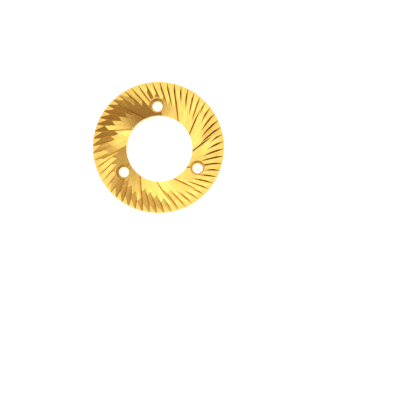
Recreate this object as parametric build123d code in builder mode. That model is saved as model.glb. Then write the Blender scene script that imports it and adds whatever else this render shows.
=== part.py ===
from build123d import *
from math import asin, cos, hypot, pi, radians, sin, tan
import os

# Flat burr of an electric coffee grinder: one ring of hardened steel with a toothed front face.
# Millimetres and degrees. The origin is the centre of the back, which lies on z = 0, and the teeth
# face +Z. Angles round the ring are clockwise from +Y, as seen from the front. Every groove is
# straight. It runs inwards from the rim and misses the centre, so it turns clockwise on its way in.

# ring
OUTER_D = 75.0
BORE_D = 38.5
HEIGHT = 10.0
RECESS_D = 58.3
RECESS_DEPTH = 2.0
BORE_CHAMFER = 0.7
BACK_CHAMFER = 0.5

# fine grooves: they miss the centre by FINE_MISS. FINE_START is negative, because their bottom
# lines meet the front face outside the rim, so that they still have some depth where they cross it
FINE_COUNT = 56
FINE_START_ANGLE = 1.3
FINE_MISS = 12.4
FINE_START = -1.0
FINE_FALL = 9.4
FINE_RAMP = 22.8
FINE_WALL_LEAN = 45.0

# long grooves: they start LONG_START inside the rim, and open into the bore
LONG_COUNT = 12
LONG_START_ANGLE = 14.3
LONG_MISS = 12.9
LONG_START = 3.8
LONG_FALL = 18.0
LONG_WALL_LEAN = 38.0

# conical flank of a long groove: its slope, and where its axis stands, as a distance from the
# ring's axis and an angle behind the groove's own angle
FLANK_SLOPE = 23.9
FLANK_OFFSET = 12.5
FLANK_LAG = 119.0

# screw holes: countersunk seats, with head clearance up through the teeth
SCREW_COUNT = 3
SCREW_CIRCLE_D = 50.0
SCREW_START_ANGLE = 357.0
SCREW_HOLE_D = 6.0
HEAD_D = 8.5
SEAT_ANGLE = 90.0
SEAT_Z = 4.4

# the cutting bodies stand out of the metal by CLEAR, and reach past the next groove of their kind
# by PAST_NEXT of the spacing, where that groove is deeper
CLEAR = 2.0
PAST_NEXT = 0.2

outer_r = OUTER_D / 2
bore_r = BORE_D / 2
recess_r = RECESS_D / 2


def point_at(radius, clockwise, height):
    """Point at a radius and a clockwise angle from +Y."""
    return Vector(radius * sin(radians(clockwise)), radius * cos(radians(clockwise)), height)


def groove_plane(miss, start, fall, turn=0.0):
    """Upright plane across the groove that starts at the rim's angle `turn`.

    X runs clockwise across the groove, Y is up and Z runs inwards along it. The origin lies on the
    groove's bottom line, CLEAR before the place `start` where that line meets the front face.
    """
    heading = radians(turn) - asin(miss / outer_r)
    inwards = Vector(-sin(heading), -cos(heading), 0)
    across = Vector(cos(heading), -sin(heading), 0)
    rim_point = point_at(outer_r, turn, HEIGHT)
    origin = rim_point + inwards * (start - CLEAR) + Vector(0, 0, CLEAR * tan(radians(fall)))
    return Plane(origin=origin, x_dir=across, z_dir=inwards)


def groove_line(plane, fall):
    """Direction of a groove's bottom line, which falls away from the front face."""
    return (plane.z_dir - Vector(0, 0, tan(radians(fall)))).normalized()


# blank, turned on a lathe: a ring with a round recess in the back
with BuildPart() as blank:
    with BuildSketch(Plane.XZ):
        with BuildLine():
            Polyline(
                (bore_r, HEIGHT),
                (outer_r, HEIGHT),
                (outer_r, BACK_CHAMFER),
                (outer_r - BACK_CHAMFER, 0),
                (recess_r, 0),
                (recess_r, RECESS_DEPTH),
                (bore_r + BORE_CHAMFER, RECESS_DEPTH),
                (bore_r, RECESS_DEPTH + BORE_CHAMFER),
                close=True,
            )
        make_face()
    revolve(axis=Axis.Z)

# cutting body of a fine groove: a leaning wall, and a ramp that rises clockwise
fine_run = outer_r - bore_r + FINE_MISS / 2 - FINE_START
fine_height = fine_run * tan(radians(FINE_FALL)) + CLEAR
fine_reach = (1 + PAST_NEXT) * pi * OUTER_D / FINE_COUNT
fine_plane = groove_plane(FINE_MISS, FINE_START, FINE_FALL)
with BuildPart() as fine_groove:
    with BuildSketch(fine_plane):
        with BuildLine():
            Polyline(
                (0, 0),
                (-fine_height * tan(radians(FINE_WALL_LEAN)), fine_height),
                (fine_reach, fine_height),
                (fine_reach, fine_reach * tan(radians(FINE_RAMP))),
                close=True,
            )
        make_face()
    extrude(amount=fine_run / cos(radians(FINE_FALL)), dir=groove_line(fine_plane, FINE_FALL))

# cutting body of a long groove: a leaning wall over a cone, ended just past the next long groove
long_height = outer_r * tan(radians(LONG_FALL)) + CLEAR
long_end = (1 + PAST_NEXT) * 360 / LONG_COUNT
flank_low = -CLEAR
flank_high = HEIGHT + CLEAR
flank_axis = point_at(FLANK_OFFSET, -FLANK_LAG, flank_low)
with BuildPart() as long_groove:
    for turn, way in ((0, Mode.ADD), (long_end, Mode.SUBTRACT)):
        long_plane = groove_plane(LONG_MISS, LONG_START, LONG_FALL, turn)
        with BuildSketch(long_plane):
            with BuildLine():
                Polyline(
                    (CLEAR * tan(radians(LONG_WALL_LEAN)), -CLEAR),
                    (-long_height * tan(radians(LONG_WALL_LEAN)), long_height),
                    (outer_r, long_height),
                    (outer_r, -CLEAR),
                    close=True,
                )
            make_face()
        extrude(
            amount=outer_r / cos(radians(LONG_FALL)),
            dir=groove_line(long_plane, LONG_FALL),
            mode=way,
        )
    # the cone meets the front face at the groove's start
    start_plane = groove_plane(LONG_MISS, LONG_START + CLEAR, 0)
    from_axis = start_plane.origin - flank_axis
    face_radius = hypot(from_axis.X, from_axis.Y)
    with Locations(flank_axis):
        Cone(
            bottom_radius=face_radius - (HEIGHT - flank_low) / tan(radians(FLANK_SLOPE)),
            top_radius=face_radius + (flank_high - HEIGHT) / tan(radians(FLANK_SLOPE)),
            height=flank_high - flank_low,
            align=(Align.CENTER, Align.CENTER, Align.MIN),
            mode=Mode.INTERSECT,
        )

# the burr: the blank with its grooves milled and its screw holes drilled
with BuildPart() as grinding_burr:
    add(blank.part)
    with PolarLocations(0, LONG_COUNT, start_angle=-LONG_START_ANGLE):
        add(long_groove.part, mode=Mode.SUBTRACT)
    with PolarLocations(0, FINE_COUNT, start_angle=-FINE_START_ANGLE):
        add(fine_groove.part, mode=Mode.SUBTRACT)
    screw_angles = [SCREW_START_ANGLE + i * 360 / SCREW_COUNT for i in range(SCREW_COUNT)]
    with Locations(*[point_at(SCREW_CIRCLE_D / 2, angle, SEAT_Z) for angle in screw_angles]):
        CounterSinkHole(
            radius=SCREW_HOLE_D / 2,
            counter_sink_radius=HEAD_D / 2,
            counter_sink_angle=SEAT_ANGLE,
        )

os.makedirs("parts", exist_ok=True)
grinding_burr.part.label = "grinding_burr"
export_step(grinding_burr.part, "parts/grinding_burr.step")
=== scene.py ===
from math import acos, atan, cos, pi, radians, sin, tan

import bmesh
import bpy
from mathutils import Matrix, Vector


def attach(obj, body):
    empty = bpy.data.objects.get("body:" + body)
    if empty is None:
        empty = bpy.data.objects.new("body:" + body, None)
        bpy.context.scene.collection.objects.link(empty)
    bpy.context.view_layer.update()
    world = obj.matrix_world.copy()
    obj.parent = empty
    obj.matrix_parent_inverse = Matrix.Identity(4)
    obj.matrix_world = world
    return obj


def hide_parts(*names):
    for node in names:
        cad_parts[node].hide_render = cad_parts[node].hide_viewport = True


# Gold coated flat burr, seen from above with its teeth up. Metres and radians, in the frame of the
# CAD part: the back lies on z = 0. Clock angles run clockwise from +Y, as seen from above.

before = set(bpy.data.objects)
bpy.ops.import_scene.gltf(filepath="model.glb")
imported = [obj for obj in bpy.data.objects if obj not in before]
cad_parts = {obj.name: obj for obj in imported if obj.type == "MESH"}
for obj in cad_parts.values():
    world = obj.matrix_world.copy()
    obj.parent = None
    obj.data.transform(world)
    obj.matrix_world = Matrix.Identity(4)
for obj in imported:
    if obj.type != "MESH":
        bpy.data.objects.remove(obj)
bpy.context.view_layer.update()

MM = 0.001

# sizes of the part that its finish follows
OUTER_R = 37.5 * MM
BORE_R = 19.25 * MM
RECESS_DEPTH = 2.0 * MM
GROOVE_MISS = 12.4 * MM
SCREW_CIRCLE_R = 25.0 * MM
SCREW_CLOCKS = (357, 117, 237)
HEAD_R = 4.25 * MM

# camera of the photograph: above the middle of the picture, which lies to the lower right of the ring
CAMERA_AT = Vector((28.35, -34.64, 270.0)) * MM
FRAME_WIDTH = 237.8 * MM
RIM_DISTANCE = 260.0 * MM


def at_clock(radius, clock, height):
    """Point at a radius and a clock angle in degrees."""
    return Vector((radius * sin(radians(clock)), radius * cos(radians(clock)), height))


# shape

MILLED, TURNED, DRILLED, GROOVE_WALL = range(4)
# how far up a face looks: 1 is straight up, 0 is sideways and -1 is straight down
FLAT = 0.999
STEEP = 0.75
UPRIGHT = 0.01
DOWNWARD = -0.5
NEARLY = 0.005
# edges between facets that turn less than this belong to one round face
FACET_TURN = radians(6.5)
HOLE_FACET_TURN = radians(16)
TOUCHING = 0.0001 * MM


def near_screw(point):
    """True on the wall or the seat of a screw hole."""
    flat = Vector((point.x, point.y, 0))
    reach = HEAD_R * (1 + 2 * NEARLY)
    return any((flat - at_clock(SCREW_CIRCLE_R, clock, 0)).length < reach for clock in SCREW_CLOCKS)


def turned(face):
    """True for the rim, the bore, the back with its recess, and the flat lands of the front."""
    middle = face.calc_center_median()
    if face.normal.z > FLAT or face.normal.z < DOWNWARD:
        return True
    radius = middle.to_2d().length
    on_rim = radius > OUTER_R * (1 - NEARLY)
    in_bore = radius < BORE_R * (1 + NEARLY)
    in_recess = middle.z < RECESS_DEPTH
    return abs(face.normal.z) < UPRIGHT and (on_rim or in_bore or in_recess)


def finish_of(face):
    """Which of the four finishes a face has: by the tool that cut it, and the steep groove walls
    apart, for their painted shade.
    """
    if near_screw(face.calc_center_median()) and DOWNWARD < face.normal.z < FLAT:
        return DRILLED
    if turned(face):
        return TURNED
    return GROOVE_WALL if face.normal.z < STEEP else MILLED


def ring_from_cad(node, name):
    """Piece with a CAD node's shape: its triangles joined, its round faces smooth, its edges crisp."""
    shape = bmesh.new()
    shape.from_mesh(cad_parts[node].data)
    bmesh.ops.remove_doubles(shape, verts=shape.verts, dist=TOUCHING)
    for face in shape.faces:
        face.smooth = True
        face.material_index = finish_of(face)
    for edge in shape.edges:
        if len(edge.link_faces) == 2:
            drilled = all(face.material_index == DRILLED for face in edge.link_faces)
            edge.smooth = edge.calc_face_angle() < (HOLE_FACET_TURN if drilled else FACET_TURN)
    mesh = bpy.data.meshes.new(name)
    shape.to_mesh(mesh)
    shape.free()
    piece = bpy.data.objects.new(name, mesh)
    bpy.context.scene.collection.objects.link(piece)
    return piece


# finish

GOLD = (0.80, 0.58, 0.14, 1)
# painted highlight: the paler gold along crisp edges stands in for the glint a rounded edge would
# catch
HIGHLIGHT_GOLD = (0.95, 0.70, 0.30, 1)
# painted shade: darker gold for the steep groove walls and the inner corners, standing in for the dark
# they reflect
SHADED_GOLD = (0.46, 0.24, 0.045, 1)
SOFT_GOLD = (0.86, 0.70, 0.28, 1)
PER_MM = 1 / MM

# tool marks: fine ones and broader ones are summed, and the sum is stretched from a range of its own
FINE_SHARE = 0.6
BROAD_SHARE = 0.4
BROAD_RATE = 0.27
MARKS_LOW = 0.34
MARKS_HIGH = 0.66
MARK_DEPTH = 0.01 * MM
# how fast the marks change along each tool's way, where 1 is how fast they change across it
ALONG_GROOVE = 0.05
ALONG_TURN = 0.5
ALONG_DRILL = 0.1

# edges with a painted highlight: how wide, the cosine of the edge's turn where they start and where
# they are full, how much the painted highlight brightens them, and what is left of the roughness
EDGE_WIDTH = 0.09 * MM
EDGE_START = 0.995
EDGE_FULL = 0.90
HIGHLIGHT_SHARE = 0.7
EDGE_ROUGHNESS = 0.8

# inner corners with painted shade: how far they reach, how open they are where the painted shade
# starts and where it is full, and how strong it is
CORNER_REACH = 1.6 * MM
CORNER_START = 0.98
CORNER_FULL = 0.70
CORNER_SHADE = 0.35

# drift of the tint over the ring and its grain: how fast they change, and by how much either way
DRIFT_RATE = 0.16 * PER_MM
DRIFT = 0.07
GRAIN_RATE = 2.4 * PER_MM
GRAIN = 0.05
CHANGE_LOW = 0.3
CHANGE_HIGH = 0.7
DULLING = 0.35

# places of the colour sockets on a Mix node
MIX_FIRST = 6
MIX_SECOND = 7
MIX_RESULT = 2


class Nodes:
    """A node tree under construction, with short ways to add nodes and to wire them up."""

    def __init__(self, tree):
        self.tree = tree

    def add(self, kind, **settings):
        node = self.tree.nodes.new("ShaderNode" + kind)
        for name, value in settings.items():
            setattr(node, name, value)
        return node

    def feed(self, socket, value):
        """Wire a socket to an output, or set it to a constant."""
        if isinstance(value, bpy.types.NodeSocket):
            self.tree.links.new(value, socket)
        else:
            socket.default_value = value

    def math(self, operation, *values):
        node = self.add("Math", operation=operation)
        for socket, value in zip(node.inputs, values):
            self.feed(socket, value)
        return node.outputs[0]

    def product(self, first, second):
        return self.math("MULTIPLY", first, second)

    def distance(self, x, y):
        return self.math("SQRT", self.math("ADD", self.product(x, x), self.product(y, y)))

    def vector(self, *values):
        node = self.add("CombineXYZ")
        for socket, value in zip(node.inputs, values):
            self.feed(socket, value)
        return node.outputs[0]

    def spread(self, value, low, high, to_low, to_high):
        """Value remapped from one range to another, and held to its ends."""
        node = self.add("MapRange")
        for socket, item in zip(node.inputs, (value, low, high, to_low, to_high)):
            self.feed(socket, item)
        return node.outputs[0]

    def noise(self, vector, scale, detail):
        node = self.add("TexNoise")
        self.feed(node.inputs["Vector"], vector)
        self.feed(node.inputs["Scale"], scale)
        self.feed(node.inputs["Detail"], detail)
        return node.outputs["Fac"]

    def mixed(self, share, first, second, blend="MIX"):
        node = self.add("Mix", data_type="RGBA", blend_type=blend)
        self.feed(node.inputs["Factor"], share)
        self.feed(node.inputs[MIX_FIRST], first)
        self.feed(node.inputs[MIX_SECOND], second)
        return node.outputs[MIX_RESULT]


def effect(name, inputs, outputs):
    """Node group with named sockets. Returns it with its input and output nodes."""
    tree = bpy.data.node_groups.new(name, "ShaderNodeTree")
    for way, sockets in (("INPUT", inputs), ("OUTPUT", outputs)):
        for socket, kind in sockets:
            tree.interface.new_socket(socket, in_out=way, socket_type="NodeSocket" + kind)
    given = tree.nodes.new("NodeGroupInput").outputs
    result = tree.nodes.new("NodeGroupOutput").inputs
    return Nodes(tree), given, result


def place_on_ring():
    """Where a point lies on the ring: millimetres from the axis, clock angle and height."""
    nodes, given, result = effect("place_on_ring", [("Position", "Vector")],
                                  [("Radius", "Float"), ("Clock", "Float"), ("Height", "Float")])
    parts = nodes.add("SeparateXYZ")
    nodes.feed(parts.inputs[0], given["Position"])
    x, y, z = parts.outputs
    nodes.feed(result["Radius"], nodes.product(nodes.distance(x, y), PER_MM))
    nodes.feed(result["Clock"], nodes.math("ARCTAN2", x, y))
    nodes.feed(result["Height"], nodes.product(z, PER_MM))
    return nodes.tree


def tool_marks():
    """Fine marks of a cutting tool, as a value from 0 to 1. Cut is a coordinate in millimetres that
    changes slowly along the cut and fast across it. Pitch is how far apart the marks lie."""
    nodes, given, result = effect("tool_marks", [("Cut", "Vector"), ("Pitch", "Float")],
                                  [("Marks", "Float")])
    step = nodes.math("DIVIDE", 1.0, given["Pitch"])
    fine = nodes.noise(given["Cut"], step, 2.0)
    broad = nodes.noise(given["Cut"], nodes.product(step, BROAD_RATE), 1.0)
    both = nodes.math("ADD", nodes.product(fine, FINE_SHARE), nodes.product(broad, BROAD_SHARE))
    nodes.feed(result["Marks"], nodes.spread(both, MARKS_LOW, MARKS_HIGH, 0.0, 1.0))
    return nodes.tree


def painted_edge_highlights():
    """Mask of the narrow strip along crisp edges that gets a painted highlight, in place of the glint
    of a rounded edge.
    """
    nodes, given, result = effect("painted_edge_highlights", [("Width", "Float")], [("Mask", "Float")])
    rounded = nodes.add("Bevel", samples=6)
    nodes.feed(rounded.inputs["Radius"], given["Width"])
    flat = nodes.add("NewGeometry")
    along = nodes.add("VectorMath", operation="DOT_PRODUCT")
    nodes.feed(along.inputs[0], rounded.outputs[0])
    nodes.feed(along.inputs[1], flat.outputs["Normal"])
    mask = nodes.spread(along.outputs["Value"], EDGE_START, EDGE_FULL, 0.0, 1.0)
    nodes.feed(result["Mask"], mask)
    return nodes.tree


def inner_corners():
    """Mask of the strips along inner corners, where painted shade darkens the colour and the painted
    edge highlight is held off.
    """
    nodes, given, result = effect("inner_corners", [("Reach", "Float")], [("Mask", "Float")])
    hollow = nodes.add("AmbientOcclusion", samples=8, only_local=True)
    nodes.feed(hollow.inputs["Distance"], given["Reach"])
    mask = nodes.spread(hollow.outputs["AO"], CORNER_START, CORNER_FULL, 0.0, 1.0)
    nodes.feed(result["Mask"], mask)
    return nodes.tree


def nitride_coating():
    """Colour and roughness of the coated metal under its tool marks. The tint drifts slowly over the
    ring. It grows darker and duller in the marks, brighter on the edges by a painted highlight and
    darker in the inner corners by painted shade."""
    nodes, given, result = effect(
        "nitride_coating",
        [("Position", "Vector"), ("Gold", "Color"), ("Marks", "Float"), ("Edge", "Float"),
         ("Corner", "Float"), ("Roughness", "Float"), ("Mark Contrast", "Float")],
        [("Colour", "Color"), ("Roughness", "Float")])
    cloud = nodes.noise(given["Position"], DRIFT_RATE, 2.0)
    grain = nodes.noise(given["Position"], GRAIN_RATE, 2.0)
    drift = nodes.spread(cloud, CHANGE_LOW, CHANGE_HIGH, -DRIFT, DRIFT)
    speck = nodes.spread(grain, CHANGE_LOW, CHANGE_HIGH, -GRAIN, GRAIN)
    scratch = nodes.product(nodes.math("SUBTRACT", given["Marks"], 0.5), given["Mark Contrast"])
    change = nodes.math("ADD", nodes.math("ADD", drift, speck), scratch)
    tone = nodes.math("ADD", change, 1.0)
    tint = nodes.vector(tone, tone, nodes.math("ADD", tone, drift))
    tinted = nodes.mixed(1.0, given["Gold"], tint, "MULTIPLY")
    edge = nodes.product(given["Edge"], nodes.math("SUBTRACT", 1.0, given["Corner"]))
    # painted highlight on the edges, kept out of the inner corners
    highlighted = nodes.mixed(nodes.product(edge, HIGHLIGHT_SHARE), tinted, HIGHLIGHT_GOLD)
    # painted shade in the inner corners
    corner = nodes.product(given["Corner"], CORNER_SHADE)
    nodes.feed(result["Colour"], nodes.mixed(corner, highlighted, SHADED_GOLD))
    dull = nodes.math("SUBTRACT", given["Roughness"], nodes.product(change, DULLING))
    smoother = nodes.spread(edge, 0.0, 1.0, 1.0, EDGE_ROUGHNESS)
    nodes.feed(result["Roughness"], nodes.product(dull, smoother))
    return nodes.tree


PLACE_ON_RING = place_on_ring()
TOOL_MARKS = tool_marks()
PAINTED_EDGE_HIGHLIGHTS = painted_edge_highlights()
INNER_CORNERS = inner_corners()
NITRIDE_COATING = nitride_coating()


def along_grooves(nodes, place):
    """Coordinate of a straight groove's cut: the spot on the rim where its line starts, and slowly
    the way along it."""
    miss = nodes.math("DIVIDE", GROOVE_MISS * PER_MM, place["Radius"])
    lead = nodes.math("SUBTRACT", nodes.math("ARCCOSINE", miss), acos(GROOVE_MISS / OUTER_R))
    start = nodes.math("ADD", place["Clock"], lead)
    rim = OUTER_R * PER_MM
    return nodes.vector(nodes.product(nodes.math("SINE", start), rim),
                        nodes.product(nodes.math("COSINE", start), rim),
                        nodes.product(place["Radius"], ALONG_GROOVE))


def round_the_axis(nodes, place):
    """Coordinate of a lathe's cut round the ring's axis."""
    across = nodes.math("ADD", place["Radius"], place["Height"])
    return nodes.vector(across, nodes.product(nodes.math("SINE", place["Clock"]), ALONG_TURN),
                        nodes.product(nodes.math("COSINE", place["Clock"]), ALONG_TURN))


def round_a_screw(nodes, place):
    """Coordinate of a drill's cut round the nearest screw hole."""
    third = 2 * pi / len(SCREW_CLOCKS)
    past_first = nodes.math("SUBTRACT", place["Clock"], radians(SCREW_CLOCKS[0]))
    turn = nodes.math("WRAP", past_first, third / 2, -third / 2)
    side = nodes.product(place["Radius"], nodes.math("SINE", turn))
    outward = nodes.product(place["Radius"], nodes.math("COSINE", turn))
    out = nodes.math("SUBTRACT", outward, SCREW_CIRCLE_R * PER_MM)
    across = nodes.math("ADD", nodes.distance(side, out), place["Height"])
    return nodes.vector(across, nodes.product(side, ALONG_DRILL), nodes.product(out, ALONG_DRILL))


def gold_steel(name, gold, roughness, cut, pitch, contrast, relief):
    """Coated steel as one tool leaves it, with a painted highlight on its crisp edges and painted
    shade in its inner corners. cut says how the tool ran, pitch how far apart its marks lie in
    millimetres, contrast how much they show and relief how deep they are."""
    material = bpy.data.materials.new(name)
    material.use_nodes = True
    nodes = Nodes(material.node_tree)
    shader = nodes.tree.nodes["Principled BSDF"]

    def placed(group, **values):
        node = nodes.add("Group", node_tree=group)
        for socket, value in values.items():
            nodes.feed(node.inputs[socket.replace("_", " ")], value)
        return node.outputs

    position = nodes.add("TexCoord").outputs["Object"]
    place = placed(PLACE_ON_RING, Position=position)
    marks = placed(TOOL_MARKS, Cut=cut(nodes, place), Pitch=pitch)["Marks"]
    edge = placed(PAINTED_EDGE_HIGHLIGHTS, Width=EDGE_WIDTH)["Mask"]
    corner = placed(INNER_CORNERS, Reach=CORNER_REACH)["Mask"]
    coat = placed(NITRIDE_COATING, Position=position, Gold=gold, Marks=marks, Edge=edge,
                  Corner=corner, Roughness=roughness, Mark_Contrast=contrast)
    bump = nodes.add("Bump")
    nodes.feed(bump.inputs["Strength"], relief)
    nodes.feed(bump.inputs["Distance"], MARK_DEPTH)
    nodes.feed(bump.inputs["Height"], marks)
    nodes.feed(shader.inputs["Base Color"], coat["Colour"])
    nodes.feed(shader.inputs["Roughness"], coat["Roughness"])
    nodes.feed(shader.inputs["Metallic"], 1.0)
    nodes.feed(shader.inputs["Normal"], bump.outputs["Normal"])
    return material


burr = ring_from_cad("grinding_burr", "toothed_ring")
for finish in (
    gold_steel("milled_gold_steel", GOLD, roughness=0.24, cut=along_grooves,
               pitch=0.26, contrast=0.34, relief=0.6),
    gold_steel("turned_gold_steel", GOLD, roughness=0.24, cut=round_the_axis,
               pitch=0.16, contrast=0.20, relief=0.5),
    gold_steel("drilled_gold_steel", SOFT_GOLD, roughness=0.28, cut=round_a_screw,
               pitch=0.18, contrast=0.20, relief=0.4),
    # the steep groove walls: their darker gold is painted shade for the dark they reflect from the
    # next tooth
    gold_steel("groove_wall_shaded_gold_steel", SHADED_GOLD, roughness=0.30, cut=along_grooves,
               pitch=0.20, contrast=0.22, relief=0.4),
):
    burr.data.materials.append(finish)
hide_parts("grinding_burr")
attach(burr, "root")


# floor

FLOOR_HALF = 1.5
PAPER_GREY = (0.8, 0.8, 0.8, 1)
PAPER_ROUGHNESS = 0.9
WHITE = (1, 1, 1, 1)
# how much the sheet is lifted near the part and far from it, and where the change lies
NEAR_LIFT = 0.7
FAR_LIFT = 1.0
LIFT_FROM = 80 * MM
LIFT_TO = 400 * MM


def white_floor():
    """White sheet under the part. Seen by the camera or in the metal it is lifted to plain white, and
    less so near the part, so that its shadow stays."""
    sheet = bmesh.new()
    bmesh.ops.create_grid(sheet, x_segments=1, y_segments=1, size=FLOOR_HALF)
    mesh = bpy.data.meshes.new("floor")
    sheet.to_mesh(mesh)
    sheet.free()
    floor = bpy.data.objects.new("floor", mesh)
    bpy.context.scene.collection.objects.link(floor)
    material = bpy.data.materials.new("white_paper")
    material.use_nodes = True
    nodes = Nodes(material.node_tree)
    shader = nodes.tree.nodes["Principled BSDF"]
    nodes.feed(shader.inputs["Base Color"], PAPER_GREY)
    nodes.feed(shader.inputs["Roughness"], PAPER_ROUGHNESS)
    nodes.feed(shader.inputs["Specular IOR Level"], 0.0)
    nodes.feed(shader.inputs["Emission Color"], WHITE)
    ray = nodes.add("LightPath").outputs
    seen = nodes.math("MAXIMUM", ray["Is Camera Ray"], ray["Is Glossy Ray"])
    away = nodes.add("VectorMath", operation="LENGTH")
    nodes.feed(away.inputs[0], nodes.add("TexCoord").outputs["Object"])
    lift = nodes.spread(away.outputs["Value"], LIFT_FROM, LIFT_TO, NEAR_LIFT, FAR_LIFT)
    nodes.feed(shader.inputs["Emission Strength"], nodes.product(seen, lift))
    mesh.materials.append(material)


white_floor()

# light

LAMP_DISTANCE = 0.8


def lamp(name, clock, lean, wide, tall, level):
    """Soft panel that faces the part. It stands at a clock angle and leans over from straight up by
    lean. wide and tall are its angles as seen from the part, and level is how bright it looks."""
    out, up = sin(radians(lean)), cos(radians(lean))
    stand = Vector((out * sin(radians(clock)), out * cos(radians(clock)), up))
    data = bpy.data.lights.new(name, "AREA")
    data.shape = "RECTANGLE"
    data.size = 2 * LAMP_DISTANCE * tan(radians(wide / 2))
    data.size_y = 2 * LAMP_DISTANCE * tan(radians(tall / 2))
    data.energy = level * pi * data.size * data.size_y
    panel = bpy.data.objects.new(name, data)
    panel.location = stand * LAMP_DISTANCE
    panel.rotation_euler = stand.to_track_quat("Z", "Y").to_euler()
    panel.visible_camera = False
    bpy.context.scene.collection.objects.link(panel)


# name, clock, lean, wide, tall and level
lamp("roof_panel", 300, 4, 44, 36, 1.12)
lamp("west_panel", 262, 46, 68, 34, 1.3)
lamp("north_west_panel", 335, 46, 36, 34, 1.26)
lamp("north_panel", 12, 46, 26, 34, 1.35)
lamp("north_east_panel", 55, 46, 34, 34, 0.47)
lamp("east_panel", 118, 36, 22, 38, 1.53)
lamp("low_west_panel", 265, 76, 80, 18, 0.72)

ROOM = (0.36, 0.21, 0.14, 1)


def dim_warm_room():
    """The room round the panels: dim and warm in the metal, white for the camera."""
    world = bpy.data.worlds.new("studio")
    bpy.context.scene.world = world
    world.use_nodes = True
    nodes = Nodes(world.node_tree)
    room = nodes.tree.nodes["Background"]
    nodes.feed(room.inputs["Color"], ROOM)
    backdrop = nodes.add("Background")
    nodes.feed(backdrop.inputs["Color"], WHITE)
    chosen = nodes.add("MixShader")
    nodes.feed(chosen.inputs["Fac"], nodes.add("LightPath").outputs["Is Camera Ray"])
    nodes.feed(chosen.inputs[1], room.outputs[0])
    nodes.feed(chosen.inputs[2], backdrop.outputs[0])
    nodes.feed(nodes.tree.nodes["World Output"].inputs["Surface"], chosen.outputs[0])


dim_warm_room()

# camera

view = bpy.data.cameras.new("photograph")
view.sensor_fit = "HORIZONTAL"
view.angle = 2 * atan(FRAME_WIDTH / 2 / RIM_DISTANCE)
camera = bpy.data.objects.new("photograph", view)
camera.location = CAMERA_AT
bpy.context.scene.collection.objects.link(camera)
bpy.context.scene.camera = camera
bpy.context.scene.view_settings.view_transform = "Standard"
